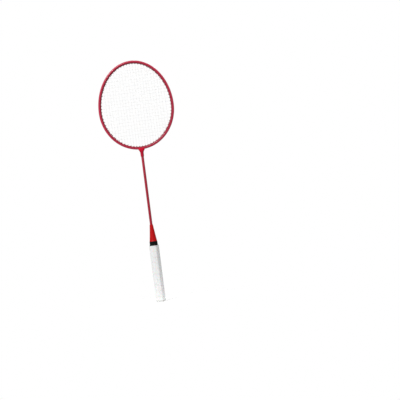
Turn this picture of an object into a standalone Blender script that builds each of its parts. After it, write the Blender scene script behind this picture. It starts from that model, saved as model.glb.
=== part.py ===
"""Adult badminton racket: tube hoop, moulded tee, tube shaft, cone, collar and wrapped octagonal handle.

Metres, +Z up. The racket stands on its butt with the shaft along +Z and the string bed in the XZ plane;
its front face looks along -Y. The origin is the centre of the butt end.
All driving dimensions below are in millimetres and are scaled by MM.
"""

import math

import bmesh
import bpy
import numpy as np

MM = 0.001
GAP = 0.3  # clearance kept between neighbouring pieces

# ---- Lengths along the racket, measured up from the butt ----
LENGTH = 665.0
CAP_TOP = 3.2
WRAP_BOTTOM = 3.5
WRAP_TOP = 154.5
COLLAR_BOTTOM = 155.0
COLLAR_TOP = 166.0
CONE_BOTTOM = 166.3
CONE_TOP = 212.6
TEE_BOTTOM = 401.0
SHAFT_BOTTOM = 88.0
SHAFT_TOP = 417.0

# ---- Head outline: two half ellipses of one width ----
HEAD_HALF_WIDTH = 103.5
HEAD_UPPER = 131.2  # widest line to the top
HEAD_LOWER = 113.2  # widest line to the throat
HEAD_CENTRE = LENGTH - HEAD_UPPER
HOOP_STATIONS = 60
HOOP_END = 0.16  # half of the seam between the hoop's two ends
HOOP_HEIGHT = 8.0  # radial thickness of the tube
HOOP_HALF_DEPTH = 4.7

# Tube section: (depth in from the outer face, half width there), outer skin with its string groove
HOOP_SKIN = [(2.2, 2.2), (0.0, 2.5), (1.1, 3.95), (3.85, HOOP_HALF_DEPTH), (6.6, 3.6), (HOOP_HEIGHT, 2.0)]
HOOP_BORE = [(2.75, 2.3), (3.0, 3.9), (6.35, 3.2), (7.5, 1.95)]

# ---- Strings and grommets ----
STRING_HALF = 0.29
MAINS = 22
MAIN_PITCH = 7.75
CROSSES = 22
CROSS_PITCH = 8.9
CROSS_TOP = 640.5  # height of the highest cross string
WEAVE = 0.88  # how far a cross string passes in front of or behind the mains
STAGGER = 0.46  # mains' holes sit in front of the rim's middle, crosses' holes behind it
HOLE_PITCH_MIN = 4.3
RUN_DEPTH = 0.62  # depth of the string that runs in the groove
BAND_OUT, BAND_IN = 1.25, 1.9
BAND_HALF = 1.75
BARREL_RADIUS = 1.15
BARREL_END = 9.6
BORE_HALF = 0.56
HOLE_HALF = 1.45

# ---- Shaft, tee, cone and handle ----
SHAFT_RADIUS = 3.6
SHAFT_BORE = 3.1
TEE_RADIUS = 4.6
TEE_HALF_WIDTH = 9.2
TEE_HALF_DEPTH = 5.75
CONE_RADIUS_LOW, CONE_RADIUS_HIGH = 10.45, 4.55
CONE_WALL = 1.1
COLLAR_RADIUS_LOW, COLLAR_RADIUS_HIGH = 11.25, 10.8
FOOT_OVERLAP = 0.55  # how far the collar's octagonal foot reaches over the wrap's inner edge
FOOT_BOTTOM, FOOT_TOP = 154.8, 155.4
NOSE_RADIUS = 8.55
NOSE_TOP = 195.0
GRIP_HALF_WIDTH, GRIP_HALF_DEPTH = 13.15, 12.1
WRAP_THICKNESS = 1.6
WRAP_PITCH = 15.3
TRIM_LEAST = 1.2  # the band's ends are cut off where they would be narrower than this
PIN_RADIUS = 1.0
PIN_HEIGHT = 112.0
PIN_HALF_LENGTH = 8.6
CAP_CHAMFER = 0.9
SPIGOT_RADIUS = 3.0
SPIGOT_DEPTH = 12.0
NECK_BOTTOM, NECK_FLARE = 207.0, 202.0  # between these heights the cone's bore opens towards the nose
JOINT_REACH = 14.0  # how far the tee's saddle and the insert run round the rim on each side of the seam
GRIP_CORNER, CORE_CORNER = 2.2, 1.0  # width of the flats that break the corners of the octagons

# ---- Sides of the round pieces ----
SHAFT_SIDES, BODY_SIDES, TEE_SIDES = 20, 28, 24
SPIGOT_SIDES, PIN_SIDES, BARREL_SIDES = 16, 10, 6
SHARP_ANGLE = math.radians(40)

# ---- Finishes: linear colour, roughness, metallic ----
FINISHES = {
    "crimson_paint": ((0.36, 0.010, 0.036), 0.36, 0.0),
    "tee_red": ((0.58, 0.004, 0.027), 0.32, 0.0),
    "cone_red": ((0.46, 0.002, 0.004), 0.36, 0.0),
    "collar_black": ((0.005, 0.005, 0.005), 0.48, 0.0),
    "grommet_crimson": ((0.13, 0.006, 0.015), 0.42, 0.0),
    "string_white": ((0.91, 0.91, 0.905), 0.35, 0.0),
    "handle_wood": ((0.55, 0.38, 0.21), 0.65, 0.0),
    "grip_white": ((0.83, 0.83, 0.825), 0.53, 0.0),
    "cap_white": ((0.73, 0.73, 0.72), 0.46, 0.0),
    "bare_steel": ((0.60, 0.60, 0.605), 0.36, 1.0),
}
FINISH_OF = {
    "head_frame": "crimson_paint",
    "shaft": "crimson_paint",
    "t_joint": "tee_red",
    "cone_cap": "cone_red",
    "collar_ring": "collar_black",
    "main_string": "string_white",
    "cross_string": "string_white",
    "handle_core": "handle_wood",
    "grip_wrap": "grip_white",
    "butt_cap": "cap_white",
    "frame_joint_insert": "bare_steel",
    "handle_pin": "bare_steel",
}  # every other piece is a grommet strip


# ---------------------------------------------------------------- meshes


def link_mesh(name, verts, faces):
    """A mesh object from points in millimetres, with its faces turned outward."""
    mesh = bpy.data.meshes.new(name)
    mesh.from_pydata([tuple(c * MM for c in v) for v in verts], [], faces)
    mesh.validate()
    bm = bmesh.new()
    bm.from_mesh(mesh)
    bmesh.ops.recalc_face_normals(bm, faces=bm.faces)
    bm.to_mesh(mesh)
    bm.free()
    obj = bpy.data.objects.new(name, mesh)
    bpy.context.scene.collection.objects.link(obj)
    return obj


def loft(name, loops, closed=False):
    """A solid through equal-length loops of points: capped at both ends, or joined end to end."""
    n = len(loops[0])
    verts = [tuple(p) for loop in loops for p in loop]
    faces = []
    spans = len(loops) if closed else len(loops) - 1
    for k in range(spans):
        a, b = k * n, ((k + 1) % len(loops)) * n
        for i in range(n):
            j = (i + 1) % n
            faces.append((a + i, a + j, b + j, b + i))
    if not closed:
        faces.append(tuple(range(n - 1, -1, -1)))
        faces.append(tuple((len(loops) - 1) * n + i for i in range(n)))
    return link_mesh(name, verts, faces)


def join(name, objs):
    """One object out of several that don't touch."""
    verts, faces = [], []
    for obj in objs:
        base = len(verts)
        verts += [tuple(c / MM for c in v.co) for v in obj.data.vertices]
        faces += [tuple(base + i for i in p.vertices) for p in obj.data.polygons]
        bpy.data.objects.remove(obj)
    return link_mesh(name, verts, faces)


def combine(obj, other, operation):
    """Boolean of obj with other, which is used up."""
    mod = obj.modifiers.new("cut", "BOOLEAN")
    mod.operation = operation
    mod.solver = "EXACT"
    mod.object = other
    graph = bpy.context.evaluated_depsgraph_get()
    mesh = bpy.data.meshes.new_from_object(obj.evaluated_get(graph))
    obj.modifiers.clear()
    obj.data = mesh
    bpy.data.objects.remove(other)
    bm = bmesh.new()
    bm.from_mesh(mesh)
    bmesh.ops.remove_doubles(bm, verts=bm.verts, dist=0.002 * MM)
    bmesh.ops.dissolve_degenerate(bm, edges=bm.edges, dist=0.002 * MM)
    bm.to_mesh(mesh)
    bm.free()
    return obj


def turned(name, profile, sides):
    """A solid of revolution about Z through closed (radius, height) points."""
    loops = []
    for k in range(sides):
        a = 2 * math.pi * (k + 0.5) / sides
        loops.append([(r * math.cos(a), r * math.sin(a), z) for r, z in profile])
    return loft(name, loops, closed=True)


def cylinder(name, radius, low, high, sides, axis="Z", centre=(0, 0)):
    loops = []
    for h in (low, high):
        loop = []
        for k in range(sides):
            a = 2 * math.pi * (k + 0.5) / sides
            u, v = centre[0] + radius * math.cos(a), centre[1] + radius * math.sin(a)
            loop.append((u, v, h) if axis == "Z" else (u, h, v))
        loops.append(loop)
    return loft(name, loops)


# ---------------------------------------------------------------- head outline


def outline(phi):
    """Point and outward normal (x, z) of the hoop's outer face; phi runs from the throat up the right."""
    b = np.where(np.cos(phi) > 0, HEAD_LOWER, HEAD_UPPER)
    x, z = HEAD_HALF_WIDTH * np.sin(phi), HEAD_CENTRE - b * np.cos(phi)
    nx, nz = b * np.sin(phi), -HEAD_HALF_WIDTH * np.cos(phi)
    m = np.hypot(nx, nz)
    return x, z, nx / m, nz / m


TABLE = np.linspace(0.0, math.pi, 6001)
TX, TZ, TNX, TNZ = outline(TABLE)
MOUTH_X, MOUTH_Z = TX - BARREL_END * TNX, TZ - BARREL_END * TNZ
MOUTH_S = np.concatenate([[0], np.cumsum(np.hypot(np.diff(MOUTH_X), np.diff(MOUTH_Z)))])
WIDEST = int(np.argmax(MOUTH_X))


def rim_point(phi, depth, y):
    """A point on the rim, depth millimetres in from its outer face."""
    x, z, nx, nz = outline(np.asarray(phi, float))
    return (float(x - depth * nx), y, float(z - depth * nz))


def arc_phis(first, last, count):
    """Angles that step evenly along the rim between two angles."""
    fine = np.linspace(first, last, 4001)
    x, z, _, _ = outline(fine)
    run = np.concatenate([[0], np.cumsum(np.hypot(np.diff(x), np.diff(z)))])
    return np.interp(np.linspace(0, run[-1], count), run, fine)


def sweep_rim(name, phis, section):
    """A solid whose section, as (depth, y) points, follows the rim."""
    return loft(name, [[rim_point(p, d, y) for d, y in section] for p in phis])


def mirrored(half):
    """A closed section from its points at positive y."""
    return half + [(d, -y) for d, y in reversed(half)]


# ---------------------------------------------------------------- string layout


def right_side_holes():
    """Holes of the right half of the rim as (phi, kind, index), throat to top, spread to a least pitch."""
    holes = []
    for i in range(MAINS // 2):
        x = (i + 0.5) * MAIN_PITCH
        holes.append((float(np.interp(x, MOUTH_X[:WIDEST], MOUTH_S[:WIDEST])), "low", i))
        holes.append((float(np.interp(-x, -MOUTH_X[WIDEST:], MOUTH_S[WIDEST:])), "high", i))
    for j in range(CROSSES):
        holes.append((float(np.interp(CROSS_TOP - j * CROSS_PITCH, MOUTH_Z, MOUTH_S)), "cross", j))
    holes.sort()
    s = np.array([h[0] for h in holes])
    for _ in range(400):
        short = HOLE_PITCH_MIN - np.diff(s)
        if short.max() < 1e-6:
            break
        push = np.where(short > 0, short / 2, 0.0)
        s[:-1] -= push
        s[1:] += push
    phis = np.interp(s, MOUTH_S, TABLE)
    return [(float(p), h[1], h[2]) for p, h in zip(phis, holes)]


HOLES_RIGHT = right_side_holes()
HOLES_LEFT = [(2 * math.pi - p, kind, n) for p, kind, n in HOLES_RIGHT]
PHI_OF = {("R", kind, n): p for p, kind, n in HOLES_RIGHT}
PHI_OF.update({("L", kind, n): p for p, kind, n in HOLES_LEFT})


def hole_y(kind):
    return STAGGER if kind == "cross" else -STAGGER


def main_phi(column, end):
    """Rim angle of a main string's hole; columns count from the left."""
    half = MAINS // 2
    return PHI_OF[("R", end, column - half)] if column >= half else PHI_OF[("L", end, half - 1 - column)]


def mouth(phi, y):
    return np.array(rim_point(phi, BARREL_END, y))


def tube_prism(name, phi, y, half, depth_in, depth_out, sides=4, radius=None):
    """A straight prism through the rim, square to it, centred at one depth-wise offset y."""
    x, z, nx, nz = (float(v) for v in outline(np.asarray(phi, float)))
    along = np.array([nz, 0.0, -nx])  # tangent of the rim
    r = radius or half * math.sqrt(2)
    loops = []
    for depth in (depth_in, depth_out):
        centre = np.array([x - depth * nx, y, z - depth * nz])
        loop = []
        for k in range(sides):
            a = 2 * math.pi * (k + 0.5) / sides
            loop.append(tuple(centre + r * math.cos(a) * along + np.array([0, r * math.sin(a), 0])))
        loops.append(loop)
    return loft(name, loops)


def string_solid(name, path, halves):
    """A square-section strand along path; its section stays upright in y."""
    pts = [np.asarray(p, float) for p in path]
    loops = []
    for k, p in enumerate(pts):
        before = p - pts[k - 1] if k else pts[1] - p
        after = pts[k + 1] - p if k < len(pts) - 1 else p - pts[k - 1]
        t = before / np.linalg.norm(before) + after / np.linalg.norm(after)
        t /= np.linalg.norm(t)
        side = np.cross(t, [0.0, 1.0, 0.0])
        side /= np.linalg.norm(side)
        up = np.cross(side, t)
        bend = max(0.75, abs(float(np.dot(t, after / np.linalg.norm(after)))))
        flat = np.array([before[0], 0, before[2]])
        flat_after = np.array([after[0], 0, after[2]])
        turn = float(np.dot(flat, flat_after) / (np.linalg.norm(flat) * np.linalg.norm(flat_after)))
        wide = halves[k] / max(0.7, math.sqrt((1 + max(-1.0, min(1.0, turn))) / 2))
        tall = halves[k] / bend
        corners = ((1, 1), (-1, 1), (-1, -1), (1, -1))
        loops.append([tuple(p + a * wide * side + b * tall * up) for a, b in corners])
    return loft(name, loops)


def groove_run(phi_a, phi_b, y):
    """Points of a strand that lies in the groove between two holes."""
    if abs(phi_b - phi_a) > math.pi:  # the run crosses the throat
        if phi_a > phi_b:
            phi_a -= 2 * math.pi
        else:
            phi_b -= 2 * math.pi
    return [rim_point(p, RUN_DEPTH, y) for p in (phi_a, (phi_a + phi_b) / 2, phi_b)]


def knot(phi, y, toward):
    """The last few millimetres of a strand in the groove, where its stopper knot lies."""
    step = 1.0 / HEAD_HALF_WIDTH * (1 if toward > 0 else -1)
    points = [rim_point(phi + step * d, RUN_DEPTH, y) for d in (0.0, 1.0, 1.3, 2.6, 2.9)]
    return points, [STRING_HALF, STRING_HALF, 0.42, 0.42, 0.25]


def crossing_points():
    """Where the straight lines of the mains and the crosses meet, seen from the front."""
    mains, crosses = [], []
    for i in range(MAINS):
        mains.append((mouth(main_phi(i, "low"), 0.0), mouth(main_phi(i, "high"), 0.0)))
    for j in range(CROSSES):
        crosses.append((mouth(PHI_OF[("L", "cross", j)], 0.0), mouth(PHI_OF[("R", "cross", j)], 0.0)))
    table = {}
    for i, (a, b) in enumerate(mains):
        for j, (c, d) in enumerate(crosses):
            m = np.array([[b[0] - a[0], c[0] - d[0]], [b[2] - a[2], c[2] - d[2]]])
            t, u = np.linalg.solve(m, np.array([c[0] - a[0], c[2] - a[2]]))
            if 0 < t < 1 and 0 < u < 1:
                p = a + t * (b - a)
                table[(i, j)] = (float(p[0]), float(p[2]))
    return table


CROSSINGS = crossing_points()


def build_mains():
    """All mains as one strand: down one, along the groove, up the next, from the left to the right."""
    path, halves = [], []
    for i in range(MAINS):
        ends = ("high", "low") if i % 2 == 0 else ("low", "high")
        rows = sorted(j for (m, j) in CROSSINGS if m == i)
        first, last = main_phi(i, ends[0]), main_phi(i, ends[1])
        if i == 0:
            points, sizes = knot(first, -STAGGER, 1)
            path += points[::-1]
            halves += sizes[::-1]
        line = [mouth(first, -STAGGER)]
        stops = (rows[0], rows[-1]) if ends[0] == "high" else (rows[-1], rows[0])
        line += [np.array([CROSSINGS[(i, j)][0], 0.0, CROSSINGS[(i, j)][1]]) for j in stops]
        line.append(mouth(last, -STAGGER))
        path += line
        halves += [STRING_HALF] * len(line)
        if i < MAINS - 1:
            run = groove_run(last, main_phi(i + 1, ends[1]), -STAGGER)
            path += run
            halves += [STRING_HALF] * len(run)
        else:
            points, sizes = knot(last, -STAGGER, -1)
            path += points
            halves += sizes
    return string_solid("main_string", path, halves)


def build_crosses():
    """All crosses as one strand, over and under the mains, from the top down."""
    path, halves = [], []
    for j in range(CROSSES):
        sides = ("L", "R") if j % 2 == 0 else ("R", "L")
        first, last = (PHI_OF[(s, "cross", j)] for s in sides)
        if j == 0:
            points, sizes = knot(first, STAGGER, 1)
            path += points[::-1]
            halves += sizes[::-1]
        columns = sorted((m for (m, row) in CROSSINGS if row == j), reverse=sides[0] == "R")
        line = [mouth(first, STAGGER)]
        for i in columns:
            x, z = CROSSINGS[(i, j)]
            line.append(np.array([x, WEAVE if (i + j) % 2 else -WEAVE, z]))
        line.append(mouth(last, STAGGER))
        path += line
        halves += [STRING_HALF] * len(line)
        if j < CROSSES - 1:
            run = groove_run(last, PHI_OF[(sides[1], "cross", j + 1)], STAGGER)
            path += run
            halves += [STRING_HALF] * len(run)
        else:
            points, sizes = knot(last, STAGGER, 1)
            path += points
            halves += sizes
    return string_solid("cross_string", path, halves)


# ---------------------------------------------------------------- head


def build_hoop():
    """Tube with a string groove, open at its two ends, drilled for every string."""
    end = HOOP_END / HEAD_HALF_WIDTH
    phis = arc_phis(end, 2 * math.pi - end, HOOP_STATIONS + 1)
    over = 0.6 * end  # the bore runs out past each end, but not into the other end
    inner = np.concatenate([[end - over], phis, [2 * math.pi - end + over]])
    hoop = sweep_rim("head_frame", phis, mirrored(HOOP_SKIN))
    combine(hoop, sweep_rim("bore", inner, mirrored(HOOP_BORE)), "DIFFERENCE")
    cutters = []
    for phi, kind, _ in HOLES_RIGHT + HOLES_LEFT:
        cutters.append(tube_prism("hole", phi, hole_y(kind), HOLE_HALF, 1.0, HOOP_HEIGHT + 1.2))
    combine(hoop, join("holes", cutters), "DIFFERENCE")
    return hoop


def build_strips():
    """Grommet strips: a thin band in the groove with a barrel through the tube for every string end."""
    names = ["throat", "lower", "lower_side", "upper_side", "upper", "top"]
    band = mirrored([(BAND_OUT, BAND_HALF), (BAND_IN, BAND_HALF)])
    root = (BAND_OUT + BAND_IN) / 2
    count = len(names)
    cuts = [round(k * len(HOLES_RIGHT) / count) for k in range(count + 1)]
    phis = [h[0] for h in HOLES_RIGHT]
    slack = 0.2 / HEAD_HALF_WIDTH
    edges = [2.0 * slack] + [(phis[c - 1] + phis[c]) / 2 for c in cuts[1:-1]] + [math.pi - 2.0 * slack]
    for k, label in enumerate(names):
        low = edges[k] + (slack if k else 0.0)
        high = edges[k + 1] - (slack if k < count - 1 else 0.0)
        for side in ("right", "left"):
            turn = (lambda p: p) if side == "right" else (lambda p: 2 * math.pi - p)
            stations = sorted(turn(p) for p in arc_phis(low, high, 8))
            strip = sweep_rim(f"grommet_strip_{side}_{label}", stations, band)
            barrels, bores = [], []
            for phi, kind, _ in HOLES_RIGHT[cuts[k] : cuts[k + 1]]:
                at, y = turn(phi), hole_y(kind)
                barrels.append(tube_prism("barrel", at, y, 0, root, BARREL_END, BARREL_SIDES, BARREL_RADIUS))
                bores.append(tube_prism("bore", at, y, BORE_HALF, BAND_OUT - 0.5, BARREL_END + 0.5))
            combine(strip, join("barrels", barrels), "UNION")
            combine(strip, join("bores", bores), "DIFFERENCE")


def build_joint_insert():
    """H-shaped insert that joins the hoop's ends: two curved bars and a web between the throat holes."""
    reach = JOINT_REACH / HEAD_HALF_WIDTH
    phis = arc_phis(-reach, reach, 9)
    insert = sweep_rim("frame_joint_insert", phis, [(3.7, 2.2), (3.9, 3.05), (4.9, 2.2)])
    other = sweep_rim("bar", phis, [(3.7, -2.2), (4.9, -2.2), (3.9, -3.05)])
    web_reach = 1.9 / HEAD_HALF_WIDTH
    web = sweep_rim("web", [-web_reach, web_reach], [(3.9, 2.45), (3.9, -2.45), (4.6, -2.45), (4.6, 2.45)])
    combine(web, insert, "UNION")
    combine(web, other, "UNION")
    web.name = "frame_joint_insert"
    return web


def build_tee():
    """Moulded tee: a saddle over the outer half of the hoop, flowing down into the shaft's sleeve."""
    # (height, half width, half depth, squareness: 2 is an ellipse, more is nearer a box)
    stations = [
        (TEE_BOTTOM, 4.3, 4.3, 2.0),
        (TEE_BOTTOM + 0.6, TEE_RADIUS, TEE_RADIUS, 2.0),
        (410.5, TEE_RADIUS, TEE_RADIUS, 2.0),
        (412.5, 4.8, 4.7, 2.1),
        (414.5, 5.4, 4.95, 2.3),
        (416.3, 6.3, 5.25, 2.6),
        (417.8, 7.4, 5.5, 3.0),
        (419.2, 8.5, 5.7, 3.5),
        (420.6, TEE_HALF_WIDTH, TEE_HALF_DEPTH, 4.0),
        (424.2, TEE_HALF_WIDTH, TEE_HALF_DEPTH, 4.0),
        (424.8, TEE_HALF_WIDTH - 0.4, TEE_HALF_DEPTH - 0.35, 4.0),
    ]
    loops = []
    for z, rx, ry, power in stations:
        loop = []
        for k in range(TEE_SIDES):
            a = 2 * math.pi * (k + 0.5) / TEE_SIDES
            c, s = math.cos(a), math.sin(a)
            x = rx * math.copysign(abs(c) ** (2 / power), c)
            y = ry * math.copysign(abs(s) ** (2 / power), s)
            loop.append((x, y, z))
        loops.append(loop)
    tee = loft("t_joint", loops)
    envelope = [(-GAP, 2.6), (0.9, 4.25), (3.4, HOOP_HALF_DEPTH + GAP), (6.2, 3.9), (9.0, 3.0)]
    reach = JOINT_REACH / HEAD_HALF_WIDTH
    combine(tee, sweep_rim("saddle", arc_phis(-reach, reach, 13), mirrored(envelope)), "DIFFERENCE")
    socket = cylinder("socket", SHAFT_RADIUS + GAP, TEE_BOTTOM - 1, SHAFT_TOP + GAP, SHAFT_SIDES)
    combine(tee, socket, "DIFFERENCE")
    return tee


# ---------------------------------------------------------------- shaft and handle


def octagon(half_width, half_depth, corner=0.0):
    """Octagon wider across X than Y; with corner, each corner becomes two points."""
    flat_x, flat_y = half_width * 0.42, half_depth * 0.40  # half widths of the front and side facets
    corners = [
        (half_width, -flat_y), (half_width, flat_y), (flat_x, half_depth), (-flat_x, half_depth),
        (-half_width, flat_y), (-half_width, -flat_y), (-flat_x, -half_depth), (flat_x, -half_depth),
    ]
    if not corner:
        return corners
    points = []
    for k, c in enumerate(corners):
        c = np.array(c)
        for other in (np.array(corners[k - 1]), np.array(corners[(k + 1) % 8])):
            points.append(tuple(c + (other - c) / np.linalg.norm(other - c) * corner))
    return points


def cross_pin(name, radius, half_length):
    """A rod along Y through the handle and the shaft, at the height of the cross pin."""
    return cylinder(name, radius, -half_length, half_length, PIN_SIDES, "Y", (0, PIN_HEIGHT))


def build_shaft():
    profile = [
        (SHAFT_BORE, SHAFT_BOTTOM),
        (SHAFT_RADIUS, SHAFT_BOTTOM),
        (SHAFT_RADIUS, SHAFT_TOP),
        (SHAFT_BORE, SHAFT_TOP),
    ]
    shaft = turned("shaft", profile, SHAFT_SIDES)
    return combine(shaft, cross_pin("pin_hole", PIN_RADIUS + GAP, 2 * SHAFT_RADIUS), "DIFFERENCE")


def cone_radius(z):
    """Outer radius of the straight cone at a height."""
    t = (z - CONE_BOTTOM) / (CONE_TOP - CONE_BOTTOM)
    return CONE_RADIUS_LOW + (CONE_RADIUS_HIGH - CONE_RADIUS_LOW) * t


def build_cone():
    profile = [
        (cone_radius(CONE_BOTTOM) - CONE_WALL, CONE_BOTTOM),
        (cone_radius(CONE_BOTTOM), CONE_BOTTOM),
        (cone_radius(CONE_TOP - 1.0), CONE_TOP - 1.0),
        (CONE_RADIUS_HIGH - 0.3, CONE_TOP),
        (SHAFT_RADIUS + GAP, CONE_TOP),
        (SHAFT_RADIUS + GAP, NECK_BOTTOM),
        (cone_radius(NECK_FLARE) - CONE_WALL, NECK_FLARE),
    ]
    return turned("cone_cap", profile, BODY_SIDES)


def build_collar():
    """Band between cone and grip: a turned ring on a thin octagonal foot that covers the end of the wood."""
    profile = [
        (NOSE_RADIUS + GAP, COLLAR_BOTTOM),
        (COLLAR_RADIUS_LOW - 0.4, COLLAR_BOTTOM),
        (COLLAR_RADIUS_LOW, COLLAR_BOTTOM + 0.5),
        (COLLAR_RADIUS_HIGH, COLLAR_TOP - 0.4),
        (COLLAR_RADIUS_HIGH - 0.3, COLLAR_TOP),
        (NOSE_RADIUS + GAP, COLLAR_TOP),
    ]
    ring = turned("collar_ring", profile, BODY_SIDES)
    reach = WRAP_THICKNESS - FOOT_OVERLAP
    rim = octagon(GRIP_HALF_WIDTH - reach, GRIP_HALF_DEPTH - reach, CORE_CORNER)
    foot = loft("foot", [[(x, y, z) for x, y in rim] for z in (FOOT_BOTTOM, FOOT_TOP)])
    bore = cylinder("foot_bore", NOSE_RADIUS + 1.0, FOOT_BOTTOM - 1, FOOT_TOP + 1, BODY_SIDES)
    combine(foot, bore, "DIFFERENCE")
    return combine(ring, foot, "UNION")


def build_core():
    """Wooden handle: octagon with a turned nose, bored for the shaft, the pin and the butt cap's spigot."""
    inset = WRAP_THICKNESS + GAP
    rim = octagon(GRIP_HALF_WIDTH - inset, GRIP_HALF_DEPTH - inset, CORE_CORNER)
    core = loft("handle_core", [[(x, y, z) for x, y in rim] for z in (CAP_TOP + GAP, WRAP_TOP)])
    turns = [2 * math.pi * (k + 0.5) / BODY_SIDES for k in range(BODY_SIDES)]
    nose = [
        (NOSE_RADIUS, WRAP_TOP - 5),
        (NOSE_RADIUS, CONE_BOTTOM + 0.6),
        (cone_radius(NOSE_TOP) - CONE_WALL - GAP, NOSE_TOP),
    ]
    loops = [[(r * math.cos(a), r * math.sin(a), z) for a in turns] for r, z in nose]
    combine(core, loft("nose", loops), "UNION")
    bore = cylinder("bore", SHAFT_RADIUS + GAP, SHAFT_BOTTOM - 2, NOSE_TOP + 2, SHAFT_SIDES)
    combine(core, bore, "DIFFERENCE")
    spigot_hole = cylinder("spigot_hole", SPIGOT_RADIUS + GAP, 0, CAP_TOP + SPIGOT_DEPTH + 1.0, SPIGOT_SIDES)
    combine(core, spigot_hole, "DIFFERENCE")
    return combine(core, cross_pin("pin_hole", PIN_RADIUS + GAP, GRIP_HALF_DEPTH + 2), "DIFFERENCE")


def build_wrap():
    """Cushion band wound in a spiral that falls to the right in front; both ends are trimmed level."""
    inner = octagon(GRIP_HALF_WIDTH - WRAP_THICKNESS, GRIP_HALF_DEPTH - WRAP_THICKNESS, CORE_CORNER)
    outer = octagon(GRIP_HALF_WIDTH, GRIP_HALF_DEPTH, GRIP_CORNER)
    angle_of = [math.atan2(y, x) % (2 * math.pi) for x, y in outer]
    order = sorted(range(len(outer)), key=lambda k: angle_of[k])
    band = WRAP_PITCH - GAP
    turns = int((WRAP_TOP - WRAP_BOTTOM) / WRAP_PITCH) + 2
    loops = []
    for turn in range(turns, -1, -1):
        for k in order:
            mid = WRAP_BOTTOM + WRAP_PITCH * (turn - angle_of[k] / (2 * math.pi))
            low, high = max(mid - band / 2, WRAP_BOTTOM), min(mid + band / 2, WRAP_TOP)
            if high - low < TRIM_LEAST:
                continue
            (xi, yi), (xo, yo) = inner[k], outer[k]
            loops.append([(xi, yi, low), (xo, yo, low), (xo, yo, high), (xi, yi, high)])
    return loft("grip_wrap", loops)


def build_butt_cap():
    """End cap with a chamfered rim and a spigot that plugs into the handle."""
    loops = []
    for z, shrink in ((0.0, CAP_CHAMFER), (CAP_CHAMFER, 0.0), (CAP_TOP, 0.0)):
        rim = octagon(GRIP_HALF_WIDTH - shrink, GRIP_HALF_DEPTH - shrink, GRIP_CORNER)
        loops.append([(x, y, z) for x, y in rim])
    cap = loft("butt_cap", loops)
    spigot = cylinder("spigot", SPIGOT_RADIUS, CAP_TOP - 1.0, CAP_TOP + SPIGOT_DEPTH, SPIGOT_SIDES)
    return combine(cap, spigot, "UNION")


# ---------------------------------------------------------------- finishes


def finish(obj):
    """Shade a piece smooth between its crisp edges and give it a material of its own."""
    colour, roughness, metallic = FINISHES[FINISH_OF.get(obj.name, "grommet_crimson")]
    material = bpy.data.materials.new(obj.name)
    material.use_nodes = True
    shader = material.node_tree.nodes["Principled BSDF"]
    shader.inputs["Base Color"].default_value = (*colour, 1.0)
    shader.inputs["Roughness"].default_value = roughness
    shader.inputs["Metallic"].default_value = metallic
    obj.data.materials.clear()
    obj.data.materials.append(material)
    obj.data.shade_smooth()
    obj.data.set_sharp_from_angle(angle=SHARP_ANGLE)


def main():
    for obj in list(bpy.data.objects):
        bpy.data.objects.remove(obj)
    build_hoop()
    build_strips()
    build_joint_insert()
    build_tee()
    build_mains()
    build_crosses()
    build_shaft()
    cross_pin("handle_pin", PIN_RADIUS, PIN_HALF_LENGTH)
    build_cone()
    build_collar()
    build_core()
    build_wrap()
    build_butt_cap()
    pieces = list(bpy.data.objects)
    racket = bpy.data.objects.new("racket", None)
    bpy.context.scene.collection.objects.link(racket)
    for piece in pieces:
        piece.parent = racket
        finish(piece)


main()
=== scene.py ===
"""Looks for the badminton racket: smooth hoop, grommets, woven strings, moulded tee and cone, wound grip."""

import math

import bmesh
import bpy
import numpy as np
from mathutils import Matrix, Vector


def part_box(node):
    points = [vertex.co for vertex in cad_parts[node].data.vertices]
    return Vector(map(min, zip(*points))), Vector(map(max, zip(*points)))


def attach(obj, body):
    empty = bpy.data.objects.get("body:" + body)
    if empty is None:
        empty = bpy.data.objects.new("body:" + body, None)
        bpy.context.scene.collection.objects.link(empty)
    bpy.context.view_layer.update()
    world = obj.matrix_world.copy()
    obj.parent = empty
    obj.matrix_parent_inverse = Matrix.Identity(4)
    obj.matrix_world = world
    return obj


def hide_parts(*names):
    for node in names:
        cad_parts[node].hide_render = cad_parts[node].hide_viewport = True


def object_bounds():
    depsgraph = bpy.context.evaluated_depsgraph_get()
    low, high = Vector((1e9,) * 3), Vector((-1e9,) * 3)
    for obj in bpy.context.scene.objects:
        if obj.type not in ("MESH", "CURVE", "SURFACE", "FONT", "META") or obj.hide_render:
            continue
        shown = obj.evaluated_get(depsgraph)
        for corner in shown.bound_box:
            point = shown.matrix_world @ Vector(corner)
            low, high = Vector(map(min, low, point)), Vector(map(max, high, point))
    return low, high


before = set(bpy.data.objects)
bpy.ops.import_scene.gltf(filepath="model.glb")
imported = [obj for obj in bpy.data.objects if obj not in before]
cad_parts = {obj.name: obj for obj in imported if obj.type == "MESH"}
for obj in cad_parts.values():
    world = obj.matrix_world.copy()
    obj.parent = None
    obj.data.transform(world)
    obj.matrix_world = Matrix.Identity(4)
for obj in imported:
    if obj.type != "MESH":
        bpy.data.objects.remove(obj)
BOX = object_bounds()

MM = 0.001

# ---------------------------------------------------------------- sizes, from the CAD nodes (millimetres)


def node_box(name):
    """Lowest and highest corner of a CAD node, in millimetres."""
    lo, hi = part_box(name)
    return np.array(lo) / MM, np.array(hi) / MM


_, HEAD_HI = node_box("head_frame")
SHAFT_LO, SHAFT_HI = node_box("shaft")
TEE_LO, TEE_HI = node_box("t_joint")
CONE_LO, CONE_HI = node_box("cone_cap")
COLLAR_LO, COLLAR_HI = node_box("collar_ring")
WRAP_LO, WRAP_HI = node_box("grip_wrap")
_, CAP_HI = node_box("butt_cap")

# Head
TOP = HEAD_HI[2]
HALF_WIDTH = 103.5
UPPER, LOWER = 131.2, 113.2  # half heights of the head above and below its widest line
CENTRE = TOP - UPPER
TUBE_HEIGHT, TUBE_HALF_DEPTH = 8.0, 4.7
GROOVE_DEPTH = 2.2
SEAM = 0.1  # between the hoop's two ends, at the tee

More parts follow.
